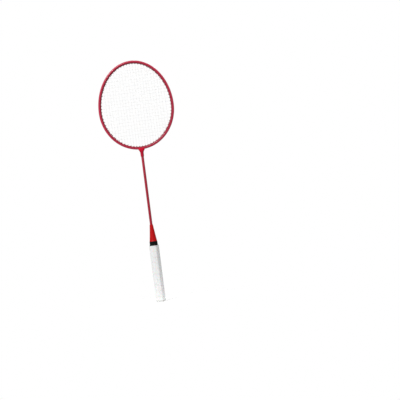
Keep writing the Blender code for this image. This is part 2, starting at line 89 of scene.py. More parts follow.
# Strings and grommets; depths are counted inward from the hoop's outer face
MAINS, MAIN_PITCH = 22, 7.75
CROSSES, CROSS_PITCH, CROSS_TOP = 22, 8.9, TOP - 24.5
STAGGER = 0.46  # mains' holes sit in front of the rim's middle, crosses' holes behind it
HOLE_PITCH_MIN = 4.3
STRING_RADIUS = 0.34
WEAVE = 0.36  # how far a strand passes in front of or behind the one that it crosses
RUN_DEPTH = 0.62  # of the strand that lies in the groove
HOLE_LIP, HOLE_EDGE = 0.74, 1.1  # depths at which a strand bends from the groove into its hole
BAND_OUT, BAND_IN, BAND_HALF = 1.25, 1.9, 1.72
BARREL_END = 9.6
BARREL_RADIUS = 1.12
BARREL_SIDES = 16
STRIPS = ("throat", "lower", "lower_side", "upper_side", "upper", "top")  # grommet strips of one side
STRIP_SLACK = 0.2  # half of the gap between two strips

# Tee, shaft, cone, collar
SLEEVE_RADIUS = 4.6
SADDLE_HALF_WIDTH, SADDLE_HALF_DEPTH, SADDLE_POWER = 9.2, 5.75, 4.2
SHAFT_RADIUS, SHAFT_BORE = 3.6, 3.1
CONE_RADIUS_LOW, CONE_RADIUS_HIGH = 10.45, 4.55
CONE_WAIST = 0.25  # how far the cone's flank is hollowed at half its height
FOOT_HALF_DEPTH = 11.02  # the collar's octagonal foot, less deep than its ring
COLLAR_BORE = 8.85

# Grip and butt
GRIP_CORNER, FOOT_CORNER = 2.1, 1.6  # how far a corner's rounding reaches along each facet
GRIP_SINK, CAP_SINK = 0.08, 0.05  # how far the band's and the cap's octagons lie inside the CAD box
GRIP_POINTS = 160  # round the band and the cap
WRAP_PITCH, WRAP_GAP = 15.3, 0.05
TRIM_LEAST = 0.12  # the band's ends are cut off where they would be narrower than this
SPIGOT_RADIUS, SPIGOT_TOP, CAP_TOP = 3.0, 15.2, 3.2

# Sides of the turned pieces
SHAFT_SIDES, CONE_SIDES, COLLAR_SIDES, TEE_SIDES = 72, 96, 192, 96


# ---------------------------------------------------------------- mesh helpers


def new_mesh(name, verts, faces, mat, smooth=50.0):
    """A piece from points in millimetres; edges sharper than smooth degrees stay crisp."""
    mesh = bpy.data.meshes.new(name)
    mesh.from_pydata((np.asarray(verts, float) * MM).tolist(), [], faces)
    mesh.validate()
    obj = bpy.data.objects.new(name, mesh)
    bpy.context.scene.collection.objects.link(obj)
    mesh.shade_smooth()
    mesh.set_sharp_from_angle(angle=math.radians(smooth))
    mesh.materials.append(mat)
    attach(obj, "root")
    return obj


def loft_faces(rings, n, closed=False, base=0, flip=False):
    """Quads through rings of n points each, with end caps when the loft is open."""
    faces = []
    for k in range(rings if closed else rings - 1):
        a, b = base + k * n, base + ((k + 1) % rings) * n
        for i in range(n):
            j = (i + 1) % n
            faces.append((a + i, b + i, b + j, a + j) if flip else (a + i, a + j, b + j, b + i))
    if not closed:
        first = tuple(base + i for i in range(n))
        last = tuple(base + (rings - 1) * n + i for i in range(n))
        faces += [first, last[::-1]] if flip else [first[::-1], last]
    return faces


def turned(profile, sides):
    """Points and faces of a closed (radius, height) profile turned about Z."""
    verts = []
    for k in range(sides):
        a = 2 * math.pi * k / sides
        verts += [(r * math.cos(a), r * math.sin(a), z) for r, z in profile]
    return verts, loft_faces(sides, len(profile), closed=True, flip=True)


def corner_curve(start, corner, end, ts):
    """Points of the curve that leaves start towards the corner and bends away to end."""
    return [(1 - t) ** 2 * start + 2 * t * (1 - t) * corner + t * t * end for t in ts]


def rounded(points, radius, steps=4, closed=True):
    """A polyline with each corner replaced by a small curve; radius is one number or one for each point."""
    pts = [np.asarray(p, float) for p in points]
    out = []
    n = len(pts)
    for k, p in enumerate(pts):
        if not closed and k in (0, n - 1):
            out.append(p)
            continue
        a, b = pts[k - 1] - p, pts[(k + 1) % n] - p
        la, lb = np.linalg.norm(a), np.linalg.norm(b)
        r = radius[k] if isinstance(radius, (list, tuple)) else radius
        r = min(r, la * 0.45, lb * 0.45)
        if r < 1e-4:
            out.append(p)
            continue
        out += corner_curve(p + a / la * r, p, p + b / lb * r, [i / steps for i in range(steps + 1)])
    return out


def tube_mesh(path, radius, sides=8):
    """A round strand along path, closed by a flat cap at each end."""
    pts = np.asarray(path, float)
    tangents = np.gradient(pts, axis=0)
    tangents /= np.linalg.norm(tangents, axis=1)[:, None]
    side = np.cross(tangents, [0.0, 1.0, 0.0])
    side /= np.linalg.norm(side, axis=1)[:, None]
    up = np.cross(side, tangents)
    a = 2 * np.pi * np.arange(sides) / sides
    ring = np.cos(a)[None, :, None] * side[:, None, :] + np.sin(a)[None, :, None] * up[:, None, :]
    verts = (pts[:, None, :] + ring * radius).reshape(-1, 3)
    return verts, loft_faces(len(pts), sides)


def fix_normals(obj):
    """Turn the faces of a closed piece outward."""
    bm = bmesh.new()
    bm.from_mesh(obj.data)
    bmesh.ops.recalc_face_normals(bm, faces=bm.faces)
    bm.to_mesh(obj.data)
    bm.free()


# ---------------------------------------------------------------- head outline and holes, as in the CAD


def outline(phi):
    """Point and outward normal (x, z) of the hoop's outer face; phi runs from the throat up the right."""
    phi = np.asarray(phi, float)
    b = np.where(np.cos(phi) > 0, LOWER, UPPER)
    x, z = HALF_WIDTH * np.sin(phi), CENTRE - b * np.cos(phi)
    nx, nz = b * np.sin(phi), -HALF_WIDTH * np.cos(phi)
    m = np.hypot(nx, nz)
    return x, z, nx / m, nz / m


def rim(phi, depth, y):
    """A point at a depth inside the hoop's outer face."""
    x, z, nx, nz = outline(phi)
    return np.array([float(x - depth * nx), y, float(z - depth * nz)])


def arc_phis(first, last, count):
    """Angles that divide a stretch of the rim into equal lengths."""
    fine = np.linspace(first, last, 6001)
    x, z, _, _ = outline(fine)
    run = np.concatenate([[0], np.cumsum(np.hypot(np.diff(x), np.diff(z)))])
    return np.interp(np.linspace(0, run[-1], count), run, fine)


def right_side_holes():
    """(angle, kind, number) of every string's hole on the right, spread where two come too close."""
    angles = np.linspace(0.0, math.pi, 6001)
    x, z, nx, nz = outline(angles)
    mouth_x, mouth_z = x - BARREL_END * nx, z - BARREL_END * nz  # where the barrels end
    run = np.concatenate([[0], np.cumsum(np.hypot(np.diff(mouth_x), np.diff(mouth_z)))])
    widest = int(np.argmax(mouth_x))
    holes = []
    for i in range(MAINS // 2):
        column = (i + 0.5) * MAIN_PITCH
        holes.append((float(np.interp(column, mouth_x[:widest], run[:widest])), "low", i))
        holes.append((float(np.interp(-column, -mouth_x[widest:], run[widest:])), "high", i))
    for j in range(CROSSES):
        holes.append((float(np.interp(CROSS_TOP - j * CROSS_PITCH, mouth_z, run)), "cross", j))
    holes.sort()
    at = np.array([h[0] for h in holes])
    for _ in range(400):
        short = HOLE_PITCH_MIN - np.diff(at)
        if short.max() < 1e-6:
            break
        push = np.where(short > 0, short / 2, 0.0)
        at[:-1] -= push
        at[1:] += push
    return [(float(p), kind, n) for p, (_, kind, n) in zip(np.interp(at, run, angles), holes)]


HOLES_RIGHT = right_side_holes()
PHI_OF = {("R", kind, n): p for p, kind, n in HOLES_RIGHT}
PHI_OF.update({("L", kind, n): 2 * math.pi - p for p, kind, n in HOLES_RIGHT})


def hole_y(kind):
    """How far a hole sits behind the rim's middle."""
    return STAGGER if kind == "cross" else -STAGGER


def main_phi(column, end):
    """Angle of the low or high hole of a main string, counted from the left."""
    half = MAINS // 2
    return PHI_OF[("R", end, column - half)] if column >= half else PHI_OF[("L", end, half - 1 - column)]


# ---------------------------------------------------------------- materials


class Nodes:
    """Short hand for a material's node tree; its textures follow the object's own coordinates, in metres."""

    def __init__(self, name):
        self.mat = bpy.data.materials.new(name)
        self.mat.use_nodes = True
        self.tree = self.mat.node_tree
        self.tree.nodes.clear()
        out = self.add("ShaderNodeOutputMaterial")
        self.bsdf = self.add("ShaderNodeBsdfPrincipled")
        self.link(self.bsdf.outputs[0], out.inputs[0])
        self.coord = self.add("ShaderNodeTexCoord").outputs["Object"]

    def add(self, kind, **settings):
        node = self.tree.nodes.new(kind)
        for key, value in settings.items():
            setattr(node, key, value)
        return node

    def link(self, a, b):
        self.tree.links.new(a, b)

    def set(self, **values):
        """Set inputs of the shader by name, with _ for a space."""
        for key, value in values.items():
            self.bsdf.inputs[key.replace("_", " ")].default_value = value

    def scaled(self, x, y, z):
        """The coordinates stretched along the axes, for grain that runs one way."""
        node = self.add("ShaderNodeMapping")
        node.inputs["Scale"].default_value = (x, y, z)
        self.link(self.coord, node.inputs["Vector"])
        return node.outputs[0]

    def noise(self, scale, detail=3.0, rough=0.5, vector=None):
        node = self.add("ShaderNodeTexNoise")
        node.inputs["Scale"].default_value = scale
        node.inputs["Detail"].default_value = detail
        node.inputs["Roughness"].default_value = rough
        self.link(vector or self.coord, node.inputs["Vector"])
        return node.outputs["Fac"]

    def voronoi(self, scale, feature="F1"):
        node = self.add("ShaderNodeTexVoronoi", feature=feature)
        node.inputs["Scale"].default_value = scale
        self.link(self.coord, node.inputs["Vector"])
        return node.outputs["Distance"]

    def wave(self, scale, distortion, vector, **settings):
        node = self.add("ShaderNodeTexWave", **settings)
        node.inputs["Scale"].default_value = scale
        node.inputs["Distortion"].default_value = distortion
        self.link(vector, node.inputs["Vector"])
        return node

    def axes(self):
        node = self.add("ShaderNodeSeparateXYZ")
        self.link(self.coord, node.inputs[0])
        return node.outputs

    def remap(self, fac, low, high, a=0.0, b=1.0):
        """Turn a..b into low..high."""
        node = self.add("ShaderNodeMapRange")
        for k, v in enumerate((a, b, low, high)):
            node.inputs[k + 1].default_value = v
        self.link(fac, node.inputs[0])
        return node.outputs[0]

    def math(self, op, a, b=None):
        node = self.add("ShaderNodeMath", operation=op)
        for k, v in enumerate((a, b)):
            if v is None:
                continue
            if isinstance(v, (int, float)):
                node.inputs[k].default_value = v
            else:
                self.link(v, node.inputs[k])
        return node.outputs[0]

    def mix(self, fac, a, b):
        """Colour a where fac is 0, b where it is 1."""
        node = self.add("ShaderNodeMix", data_type="RGBA", blend_type="MIX")
        for socket, v in ((node.inputs[0], fac), (node.inputs[6], a), (node.inputs[7], b)):
            if isinstance(v, (int, float)):
                socket.default_value = v
            elif isinstance(v, tuple):
                socket.default_value = (*v, 1.0)
            else:
                self.link(v, socket)
        return node.outputs[2]

    def bump(self, height, distance, strength=1.0, normal=None):
        node = self.add("ShaderNodeBump")
        node.inputs["Strength"].default_value = strength
        node.inputs["Distance"].default_value = distance
        self.link(height, node.inputs["Height"])
        if normal is not None:
            self.link(normal, node.inputs["Normal"])
        return node.outputs[0]

    def colour(self, value):
        self.link(value, self.bsdf.inputs["Base Color"])

    def roughness(self, value):
        self.link(value, self.bsdf.inputs["Roughness"])

    def normal(self, value):
        self.link(value, self.bsdf.inputs["Normal"])


INNER_SHADE_FADE = (0.985, 1.012)  # oval radii between which the hoop's painted shade by the strings gives way to its outer tone
SLEEVE_SHADE_FADE = (0.4135, 0.4185)  # heights between which the tee's painted shade on its sleeve gives way to the saddle's colour


def oval_radius(n):
    """1 on the middle line of the hoop's tube, less towards the strings."""
    half = TUBE_HEIGHT / 2
    place = n.axes()
    across = n.math("DIVIDE", place["X"], (HALF_WIDTH - half) * MM)
    rise = n.math("SUBTRACT", place["Z"], CENTRE * MM)
    above = n.math("DIVIDE", rise, (UPPER - half) * MM)
    below = n.math("DIVIDE", rise, -(LOWER - half) * MM)
    up = n.math("MAXIMUM", above, below)
    return n.math("SQRT", n.math("ADD", n.math("MULTIPLY", across, across), n.math("MULTIPLY", up, up)))


def paint(name, deep, bright, inner=None):
    """Enamel, faintly clouded and flaked, under a rippled clear coat; inner is painted shade on the side by
    the strings.
    """
    n = Nodes(name)
    clouds = n.noise(22.0, 3.0)
    base = n.mix(n.remap(clouds, 0.0, 1.0, 0.35, 0.65), deep, bright)
    if inner:
        # painted shade: the side of the tube that faces the strings is darkened towards the inner colour
        base = n.mix(n.remap(oval_radius(n), 0.0, 1.0, *INNER_SHADE_FADE), inner, base)
    flake = n.remap(n.voronoi(9000.0), 0.0, 1.0, 0.0, 0.55)
    n.colour(n.mix(n.math("MULTIPLY", flake, 0.05), base, (0.75, 0.20, 0.22)))
    n.roughness(n.remap(n.noise(260.0, 4.0), 0.30, 0.42))
    n.set(Metallic=0.0, Coat_Weight=0.35, Coat_Roughness=0.08, Coat_IOR=1.4, Specular_IOR_Level=0.2)
    peel = n.bump(n.noise(900.0, 2.0), 0.00002, 0.35)
    n.link(peel, n.bsdf.inputs["Coat Normal"])
    n.normal(n.bump(n.noise(2400.0, 2.0), 0.00001, 0.25))
    return n.mat


def moulded(name, low, high, rough=(0.22, 0.34), grain=0.25, coat=0.35, specular=0.3, sleeve=None):
    """Moulded plastic: near even colour, faint flow marks, fine grain; sleeve is a darker colour painted as
    shade on the tee's sleeve.
    """
    n = Nodes(name)
    flow = n.noise(60.0, 4.0, 0.6, n.scaled(1.0, 1.0, 0.35))
    colour = n.mix(n.remap(flow, 0.0, 1.0, 0.3, 0.7), low, high)
    if sleeve:
        # painted shade: the tee's round sleeve is darker than its saddle
        colour = n.mix(n.remap(n.axes()["Z"], 0.0, 1.0, *SLEEVE_SHADE_FADE), sleeve, colour)
    n.colour(colour)
    n.roughness(n.remap(n.noise(500.0, 3.0), *rough))
    n.set(Coat_Weight=coat, Coat_Roughness=0.2, Coat_IOR=1.4, Specular_IOR_Level=specular)
    fine = n.bump(n.noise(3200.0, 3.0), 0.00002, grain)
    n.normal(n.bump(flow, 0.0001, 0.06, fine))
    return n.mat


def nylon(name, low, high, rough):
    """Grommet nylon: even colour with a fine, slightly uneven surface."""
    n = Nodes(name)
    n.colour(n.mix(n.remap(n.noise(300.0, 2.0), 0.0, 1.0, 0.3, 0.7), low, high))
    n.roughness(n.remap(n.noise(1500.0, 2.0), rough - 0.05, rough + 0.08))
    n.normal(n.bump(n.noise(4200.0, 2.0), 0.00002, 0.3))
    return n.mat


def strand():
    """Braided white strand: a fine crossed wrap over the core."""
    n = Nodes("string_strand")
    wrap = n.wave(900.0, 1.5, n.coord, wave_type="BANDS", bands_direction="DIAGONAL").outputs["Fac"]
    n.colour(n.mix(wrap, (0.88, 0.88, 0.87), (0.95, 0.95, 0.945)))
    n.roughness(n.remap(n.noise(1200.0, 2.0), 0.28, 0.42))
    n.set(Subsurface_Weight=0.25, Subsurface_Scale=0.0006, Coat_Weight=0.3, Coat_Roughness=0.2)
    n.set(Subsurface_Radius=(1.0, 0.95, 0.9))
    n.normal(n.bump(wrap, 0.00003, 0.35))
    return n.mat


def cushion_band():
    """White polyurethane grip band: pebbled grain with grey between the pebbles, fine pores, faint sheen."""
    n = Nodes("grip_cushion")
    cells = n.voronoi(1500.0, "DISTANCE_TO_EDGE")
    grain = n.remap(cells, 0.0, 1.0, 0.0, 0.22)
    pores = n.remap(n.voronoi(2600.0), 0.0, 1.0, 0.10, 0.26)
    cloud = n.noise(35.0, 4.0, 0.6)
    colour = n.mix(n.remap(cloud, 0.0, 1.0, 0.3, 0.7), (0.805, 0.805, 0.801), (0.845, 0.845, 0.839))
    colour = n.mix(n.math("MULTIPLY", n.math("SUBTRACT", 1.0, grain), 0.10), colour, (0.62, 0.62, 0.61))
    n.colour(colour)
    n.roughness(n.remap(cloud, 0.46, 0.60))
    n.set(Specular_IOR_Level=0.35, Sheen_Weight=0.12, Sheen_Roughness=0.5)
    n.set(Subsurface_Weight=0.08, Subsurface_Scale=0.001)
    height = n.math("ADD", grain, n.math("MULTIPLY", pores, 0.35))
    n.normal(n.bump(height, 0.00009, 0.6))
    return n.mat


def timber():
    """Sanded wood of the handle's core, its rings and fibres along the handle."""
    n = Nodes("handle_timber")
    rings = n.wave(70.0, 3.5, n.scaled(1.0, 1.0, 0.08), wave_type="RINGS", rings_direction="Y")
    rings.inputs["Detail"].default_value = 3.0
    fibre = n.noise(900.0, 3.0, 0.6, n.scaled(1.0, 1.0, 0.04))
    base = n.mix(rings.outputs["Fac"], (0.62, 0.45, 0.27), (0.47, 0.31, 0.16))
    n.colour(n.mix(n.math("MULTIPLY", fibre, 0.35), base, (0.36, 0.23, 0.12)))
    n.roughness(n.remap(fibre, 0.5, 0.75))
    n.normal(n.bump(fibre, 0.00008, 0.4))
    return n.mat


def bare_steel():
    """Brushed steel of the pin and the insert."""
    n = Nodes("bare_steel")
    brushed = n.noise(1400.0, 3.0, 0.5, n.scaled(1.0, 0.06, 1.0))
    n.colour(n.mix(brushed, (0.52, 0.52, 0.53), (0.68, 0.68, 0.68)))
    n.roughness(n.remap(brushed, 0.28, 0.45))
    n.set(Metallic=1.0)
    n.normal(n.bump(brushed, 0.00002, 0.3))
    return n.mat


# the hoop's inner colour is painted shade on the side of the tube that faces the strings
HOOP_PAINT_AND_SHADE = paint("hoop_enamel_and_shade", (0.41, 0.013, 0.046), (0.47, 0.017, 0.058), inner=(0.24, 0.004, 0.020))
SHAFT_PAINT = paint("shaft_enamel", (0.31, 0.006, 0.023), (0.37, 0.008, 0.030))
# the tee's sleeve colour is painted shade on its round sleeve, below the flare
TEE_RED_AND_SHADE = moulded(
    "tee_red", (0.55, 0.003, 0.024), (0.61, 0.004, 0.030),
    rough=(0.26, 0.38), coat=0.12, specular=0.2, sleeve=(0.43, 0.004, 0.026),
)
CONE_RED = moulded(
    "cone_red", (0.44, 0.0015, 0.003), (0.49, 0.002, 0.004), rough=(0.30, 0.42), coat=0.08, specular=0.15
)
COLLAR_BLACK = moulded(
    "collar_black", (0.003, 0.003, 0.0028), (0.007, 0.007, 0.0065),
    rough=(0.42, 0.54), grain=0.4, coat=0.0, specular=0.1,
)
CAP_WHITE = moulded(
    "cap_white", (0.70, 0.70, 0.69), (0.76, 0.76, 0.75), rough=(0.4, 0.52), grain=0.4, coat=0.05
)
GROMMET_DARK = nylon("grommet_dark", (0.13, 0.006, 0.015), (0.17, 0.008, 0.019), 0.42)
STRAND = strand()
CUSHION = cushion_band()
TIMBER = timber()
STEEL = bare_steel()


# ---------------------------------------------------------------- hoop


def tube_section():
    """Half section of the hoop (depth, y), from the groove's floor round to the inner edge."""
    floor = [(GROOVE_DEPTH, 0.0), (GROOVE_DEPTH, 1.2), (GROOVE_DEPTH, 1.95), (2.05, 2.15)]
    wall = [(1.75, 2.22), (0.55, 2.38), (0.22, 2.44), (0.05, 2.58)]
    curve = []
    power = 2 / 2.25  # a little squarer than an ellipse
    for theta in np.linspace(0.0, math.pi, 60):
        c, s = math.cos(theta), math.sin(theta)
        depth = TUBE_HEIGHT / 2 * (1 - math.copysign(abs(c) ** power, c))
        curve.append((depth, TUBE_HALF_DEPTH * abs(s) ** power))
    lip = next(k for k, (_, y) in enumerate(curve) if y > 2.8)
    lost = curve[lip][0]  # the groove cuts the curve off here, and the rest is stretched to the full height
    skin = [((d - lost) * TUBE_HEIGHT / (TUBE_HEIGHT - lost), y) for d, y in curve[lip:]]
    return floor + wall + skin[:-1:2] + skin[-1:]


def build_hoop():
    """Smooth tube with its string groove, open by a hair's breadth under the tee."""
    half = tube_section()
    section = half + [(d, -y) for d, y in half[-2:0:-1]]
    end = SEAM / 2 / HALF_WIDTH
    phis = arc_phis(end, 2 * math.pi - end, 361)
    verts = np.array([rim(p, d, y) for p in phis for d, y in section])
    faces = loft_faces(len(phis), len(section))
    obj = new_mesh("hoop_tube", verts, faces, HOOP_PAINT_AND_SHADE, 55.0)
    fix_normals(obj)
    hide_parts("head_frame")


def barrel(phi, y):
    """One grommet barrel: a collar against the tube, a straight nose with a rounded lip and an open bore."""
    x, z, nx, nz = (float(v) for v in outline(phi))
    tangent, inward = np.array([nz, 0.0, -nx]), np.array([-nx, 0.0, -nz])
    origin = np.array([x, y, z])
    r, end, collar = BARREL_RADIUS, BARREL_END, TUBE_HEIGHT
    bore = [(0.52, 1.3), (0.52, end - 0.28), (0.60, end - 0.08), (0.74, end)]
    nose = [(r - 0.22, end), (r - 0.06, end - 0.12), (r, end - 0.35)]
    foot = [(r + 0.02, collar + 0.5), (r + 0.26, collar + 0.28), (r + 0.32, collar + 0.05)]
    shank = [(r + 0.28, collar - 0.6), (r, 1.3)]
    profile = bore + nose + foot + shank
    verts = []
    for k in range(BARREL_SIDES):
        a = 2 * math.pi * k / BARREL_SIDES
        out = math.cos(a) * tangent + np.array([0.0, math.sin(a), 0.0])
        verts += [origin + inward * depth + out * radius for radius, depth in profile]
    return verts, loft_faces(BARREL_SIDES, len(profile), closed=True)


def build_grommets():
    """Six strips on each side: a thin band in the groove with a barrel through the tube at every hole."""
    count = len(STRIPS)
    cuts = [round(k * len(HOLES_RIGHT) / count) for k in range(count + 1)]
    phis = [h[0] for h in HOLES_RIGHT]
    slack = STRIP_SLACK / HALF_WIDTH
    corners = [(BAND_OUT, BAND_HALF), (BAND_IN, BAND_HALF), (BAND_IN, -BAND_HALF), (BAND_OUT, -BAND_HALF)]
    band = rounded(corners, [0.3, 0.1, 0.1, 0.3], 3)
    for k, label in enumerate(STRIPS):
        low, high = 2 * slack, math.pi - 2 * slack
        if k:
            low = (phis[cuts[k] - 1] + phis[cuts[k]]) / 2 + slack
        if k < count - 1:
            high = (phis[cuts[k + 1] - 1] + phis[cuts[k + 1]]) / 2 - slack
        for side in ("right", "left"):
            turn = (lambda p: p) if side == "right" else (lambda p: 2 * math.pi - p)
            stations = sorted(turn(p) for p in arc_phis(low, high, 40))
            verts = [rim(p, d, y) for p in stations for d, y in band]
            faces = loft_faces(len(stations), len(band))
            for phi, kind, _ in HOLES_RIGHT[cuts[k] : cuts[k + 1]]:
                v, f = barrel(turn(phi), hole_y(kind))
                base = len(verts)
                verts += v
                faces += [tuple(base + i for i in q) for q in f]
            obj = new_mesh(f"grommets_{side}_{label}", verts, faces, GROMMET_DARK, 40.0)
            fix_normals(obj)
            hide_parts(f"grommet_strip_{side}_{label}")


# ---------------------------------------------------------------- strings


def mouth(phi, y):
    """Where a barrel ends, inside the hoop."""
    return rim(phi, BARREL_END, y)


def crossings():
    """(x, z) where each main meets each cross string, both taken as straight."""
    mains = [[mouth(main_phi(i, end), 0.0) for end in ("low", "high")] for i in range(MAINS)]
    crosses = [[mouth(PHI_OF[(side, "cross", j)], 0.0) for side in ("L", "R")] for j in range(CROSSES)]
    table = {}
    for i, (a, b) in enumerate(mains):
        for j, (c, d) in enumerate(crosses):
            m = np.array([[b[0] - a[0], c[0] - d[0]], [b[2] - a[2], c[2] - d[2]]])
            t, u = np.linalg.solve(m, np.array([c[0] - a[0], c[2] - a[2]]))
            if 0 < t < 1 and 0 < u < 1:
                p = a + t * (b - a)
                table[(i, j)] = (float(p[0]), float(p[2]))
    return table


CROSSINGS = crossings()


def woven(points, first, last):
    """A strand between two barrel mouths, easing over and under at every crossing."""
    stops = [np.asarray(first, float)] + [np.asarray(p, float) for p in points] + [np.asarray(last, float)]
    path = []
    for k in range(len(stops) - 1):
        a, b = stops[k], stops[k + 1]
        steps = max(2, int(np.linalg.norm(b - a) / 2.0))  # a point about every 2 mm
        for s in range(steps):
            t = s / steps
            ease = (1 - math.cos(math.pi * t)) / 2
            p = a + (b - a) * t
            p[1] = a[1] + (b[1] - a[1]) * ease
            path.append(p)
    path.append(stops[-1])
    return path


def through_rim(phi, y, outward=True):
    """From a barrel's mouth to the groove, square through the tube."""
    path = [rim(phi, d, y) for d in (BARREL_END - 0.75, 6.0, 3.5, BAND_IN)]
    return path if outward else path[::-1]


def groove_run(phi_a, phi_b, y):
    """Along the groove from one hole to another, the shorter way round, with a bend at each hole."""
    if abs(phi_b - phi_a) > math.pi:
        if phi_a > phi_b:
            phi_a -= 2 * math.pi
        else:
            phi_b -= 2 * math.pi
    step = 0.75 / HALF_WIDTH * (1 if phi_b > phi_a else -1)
    spans = max(3, int(abs(phi_b - phi_a) * HALF_WIDTH / 2.5))
    inner = list(np.linspace(phi_a + step, phi_b - step, spans))
    return (
        [rim(phi_a, HOLE_EDGE, y), rim(phi_a + step * 0.3, HOLE_LIP, y)]
        + [rim(p, RUN_DEPTH, y) for p in inner]
        + [rim(phi_b - step * 0.3, HOLE_LIP, y), rim(phi_b, HOLE_EDGE, y)]
    )


def knot(phi, y, toward):
    """A stopper knot in the groove: tight turns of the strand, then a short cut end; toward is 1 or -1."""
    path = [rim(phi, HOLE_EDGE, y), rim(phi + toward * 0.3 / HALF_WIDTH, HOLE_LIP, y)]
    turns, points = 2.75, 40
    for k in range(points + 1):
        t = k / points
        a = 2 * math.pi * turns * t
        along = (1.0 + 1.9 * t) / HALF_WIDTH * toward
        path.append(rim(phi + along, RUN_DEPTH + 0.30 * math.cos(a), y + 0.42 * math.sin(a)))
    path.append(rim(phi + toward * 4.2 / HALF_WIDTH, RUN_DEPTH, y))
    return path


def smooth(path):
    """Corner cutting that keeps both ends."""
    pts = np.asarray(path, float)
    mid = np.empty((2 * (len(pts) - 1), 3))
    mid[0::2] = 0.75 * pts[:-1] + 0.25 * pts[1:]
    mid[1::2] = 0.25 * pts[:-1] + 0.75 * pts[1:]
    return np.vstack([pts[:1], mid, pts[-1:]])


def strand_piece(path, name):
    """The piece that one strand along path makes."""
    verts, faces = tube_mesh(smooth(path), STRING_RADIUS)
    obj = new_mesh(name, verts, faces, STRAND, 80.0)
    fix_normals(obj)
    return obj


def build_mains():
    """All mains as one strand: down one, along the groove, up the next; a knot at each end."""
    path = []
    for i in range(MAINS):
        ends = ("high", "low") if i % 2 == 0 else ("low", "high")
        first, last = main_phi(i, ends[0]), main_phi(i, ends[1])
        rows = sorted((j for (m, j) in CROSSINGS if m == i), reverse=ends[0] == "low")
        if i == 0:
            path += knot(first, -STAGGER, 1)[::-1]
        path += through_rim(first, -STAGGER, outward=False)
        stops = []
        for j in rows:
            x, z = CROSSINGS[(i, j)]
            stops.append((x, -WEAVE if (i + j) % 2 else WEAVE, z))
        path += woven(stops, mouth(first, -STAGGER), mouth(last, -STAGGER))
        path += through_rim(last, -STAGGER)
        if i < MAINS - 1:
            path += groove_run(last, main_phi(i + 1, ends[1]), -STAGGER)
        else:
            path += knot(last, -STAGGER, -1)
    obj = strand_piece(path, "mains")
    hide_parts("main_string")


def build_crosses():
    """All crosses as one strand: across one, along the groove, back across the next; a knot at each end."""
    path = []
    for j in range(CROSSES):
        sides = ("L", "R") if j % 2 == 0 else ("R", "L")
        first, last = (PHI_OF[(s, "cross", j)] for s in sides)
        if j == 0:
            path += knot(first, STAGGER, 1)[::-1]
        path += through_rim(first, STAGGER, outward=False)
        columns = sorted((m for (m, row) in CROSSINGS if row == j), reverse=sides[0] == "R")
        stops = []
        for i in columns:
            x, z = CROSSINGS[(i, j)]
            stops.append((x, WEAVE if (i + j) % 2 else -WEAVE, z))
        path += woven(stops, mouth(first, STAGGER), mouth(last, STAGGER))
        path += through_rim(last, STAGGER)
        if j < CROSSES - 1:
            path += groove_run(last, PHI_OF[(sides[1], "cross", j + 1)], STAGGER)
        else:
            path += knot(last, STAGGER, 1)
    obj = strand_piece(path, "crosses")
    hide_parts("cross_string")


# ---------------------------------------------------------------- tee, shaft, cone, collar


def tee_stations():
    """(height, half width, half depth, squareness) up the tee; also where its flare starts and ends."""
    bottom, top = TEE_LO[2], TEE_HI[2]
    bead = [(0.0, 3.95), (0.0, 4.35), (0.15, 4.62), (0.5, 4.75), (1.6, 4.75), (2.0, 4.62)]
    bead.append((2.3, SLEEVE_RADIUS))
    sleeve = [(bottom + rise, r, r, 2.0) for rise, r in bead]
    flare = np.array([
        (409.0, SLEEVE_RADIUS, SLEEVE_RADIUS, 2.0),
        (411.0, 4.66, 4.62, 2.05),
        (413.0, 4.95, 4.75, 2.15),
        (415.0, 5.65, 5.05, 2.4),
        (416.5, 6.45, 5.3, 2.7),
        (418.0, 7.45, 5.52, 3.1),
        (419.4, 8.45, 5.68, 3.6),
        (420.6, 9.0, SADDLE_HALF_DEPTH, 4.0),
        (422.0, SADDLE_HALF_WIDTH, SADDLE_HALF_DEPTH, SADDLE_POWER),
    ])
    heights = flare[:, 0]
    for z in np.linspace(heights[0], heights[-1], 27):
        sleeve.append((z, *(float(np.interp(z, heights, flare[:, c])) for c in (1, 2, 3))))
    edge = [(0.9, 0.0, 0.0), (0.45, 0.08, 0.09), (0.15, 0.25, 0.25), (0.0, 0.5, 0.5), (0.0, 1.2, 1.15)]
    for drop, in_x, in_y in edge:
        sleeve.append((top - drop, SADDLE_HALF_WIDTH - in_x, SADDLE_HALF_DEPTH - in_y, SADDLE_POWER))
    return sleeve, len(bead) - 1, len(sleeve) - len(edge) - 1


def build_tee():
    """Moulded saddle and sleeve: flowing concave flanks, a rounded rim and a raised end bead."""
    stations, lo, hi = tee_stations()
    a = 2 * np.pi * np.arange(TEE_SIDES) / TEE_SIDES
    c, s = np.cos(a), np.sin(a)
    rings = []
    for z, rx, ry, power in stations:
        x = rx * np.sign(c) * np.abs(c) ** (2 / power)
        y = ry * np.sign(s) * np.abs(s) ** (2 / power)
        rings.append(np.stack([x, y, np.full(TEE_SIDES, z)], 1))
    verts = np.array(rings)
    for _ in range(6):  # soften the kinks between the flare's stations
        below, here, above = (verts[lo + k : hi - 2 + k, :, :2] for k in (0, 1, 2))
        verts[lo + 1 : hi - 1, :, :2] = (below + 2 * here + above) / 4
    faces = loft_faces(len(stations), TEE_SIDES)
    obj = new_mesh("tee", verts.reshape(-1, 3), faces, TEE_RED_AND_SHADE, 45.0)
    fix_normals(obj)
    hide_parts("t_joint")


def build_shaft():
    """Enamelled tube with eased ends."""
    bottom, top = SHAFT_LO[2], SHAFT_HI[2]
    profile = [(SHAFT_BORE, bottom), (SHAFT_RADIUS, bottom), (SHAFT_RADIUS, top), (SHAFT_BORE, top)]
    verts, faces = turned(rounded(profile, [0.1, 0.2, 0.2, 0.1], 2), SHAFT_SIDES)
    obj = new_mesh("shaft_tube", verts, faces, SHAFT_PAINT, 40.0)
    fix_normals(obj)
    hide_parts("shaft")


